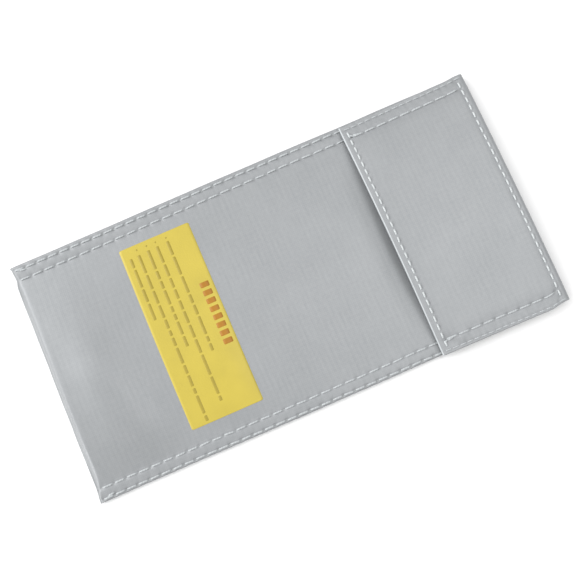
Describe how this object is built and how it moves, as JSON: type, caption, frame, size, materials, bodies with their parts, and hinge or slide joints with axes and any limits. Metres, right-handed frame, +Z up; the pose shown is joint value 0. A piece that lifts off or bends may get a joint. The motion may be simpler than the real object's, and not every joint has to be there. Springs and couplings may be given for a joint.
{
  "type": "fire-resistant battery pouch",
  "caption": "Flat fire-resistant cloth pouch for lithium polymer battery packs, with a fold-over flap closed by hook-and-loop tape.",
  "frame": {"origin": "under the middle of the closed pouch, on the surface that its back panel lies on", "axes": "+X along the pouch from the folded bottom end to the mouth where the flap folds over, +Y to the left side with the mouth ahead, +Z up out of the front panel"},
  "size_m": [0.2, 0.1, 0.0104],
  "materials": {
    "outer_cloth": "silver-grey coated glass-fibre cloth, fine plain weave, satin",
    "inner_cloth": "pale grey uncoated glass-fibre cloth, matte",
    "tape_ground": "black woven nylon tape, matte",
    "tape_pile": "black brushed loop pile, matte",
    "tape_hooks": "black nylon hooks in rows",
    "label": "yellow printed film, semi-gloss",
    "thread": "silver-white polyester sewing thread, slight sheen"
  },
  "bodies": {
    "bag": {"back_cloth": "outer_cloth", "back_lining": "inner_cloth", "bottom_fold": "outer_cloth", "front_cloth": "outer_cloth", "front_lining": "inner_cloth", "mouth_hem": "outer_cloth", "mouth_hem_thread": "thread", "loop_tape_base": "tape_ground", "loop_pile": "tape_pile", "loop_tape_thread": "thread", "warning_label": "label", "left_outer_needle_thread": "thread", "left_outer_bobbin_thread": "thread", "left_inner_needle_thread": "thread", "left_inner_bobbin_thread": "thread", "right_outer_needle_thread": "thread", "right_outer_bobbin_thread": "thread", "right_inner_needle_thread": "thread", "right_inner_bobbin_thread": "thread"},
    "spine": {"spine_cloth": "outer_cloth", "spine_lining": "inner_cloth"},
    "flap": {"flap_cloth": "outer_cloth", "flap_facing": "inner_cloth", "flap_edge_fold": "outer_cloth", "hook_tape_base": "tape_ground", "hook_field": "tape_hooks", "flap_free_edge_thread": "thread", "flap_fold_edge_thread": "thread", "flap_left_inner_thread": "thread", "flap_left_outer_thread": "thread", "flap_right_inner_thread": "thread", "flap_right_outer_thread": "thread"}
  },
  "joints": [
    {"name": "mouth_fold", "type": "hinge", "parent": "bag", "child": "spine", "pos_m": [0.09978, 0, 0.00022], "axis": [0, 1, 0], "range_deg": [0, 90]},
    {"name": "flap_fold", "type": "hinge", "parent": "spine", "child": "flap", "pos_m": [0.09978, 0, 0.01013], "axis": [0, 1, 0], "range_deg": [0, 90]}
  ],
  "couplings": [
    {"joint": "flap_fold", "follows": "mouth_fold", "ratio": 1}
  ]
}
